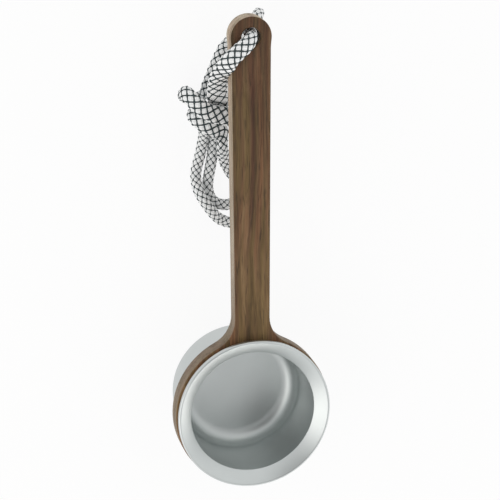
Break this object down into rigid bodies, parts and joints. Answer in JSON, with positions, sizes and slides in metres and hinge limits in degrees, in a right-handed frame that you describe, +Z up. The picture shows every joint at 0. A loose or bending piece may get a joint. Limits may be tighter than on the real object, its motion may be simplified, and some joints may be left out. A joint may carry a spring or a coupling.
{
  "type": "coffee scoop",
  "caption": "Coffee scoop with a turned aluminium cup set in the ring of a flat wooden handle, and a knotted braided cord through the hole in the handle's end.",
  "frame": {"origin": "centre of the cup's flat base, where the scoop stands on a table", "axes": "+Z up along the cup's axis, out of its mouth; +Y along the handle, towards the cord hole; +X to the right of the handle, seen from above"},
  "size_m": [0.0506, 0.1541, 0.0287],
  "materials": {
    "satin_aluminium": "satin, finely turned",
    "walnut_wood": "oiled, open grain along the handle",
    "braided_cord": "matte braid, pale with dark tracer threads"
  },
  "bodies": {
    "scoop": {"scoop_cup": "satin_aluminium", "wooden_handle": "walnut_wood"},
    "lanyard": {"lanyard_cord": "braided_cord"}
  },
  "joints": [
    {"name": "lanyard_swing", "type": "hinge", "parent": "scoop", "child": "lanyard", "pos_m": [0, 0.1223, 0.02173], "axis": [0, 0, -1], "range_deg": [0, 270]}
  ]
}
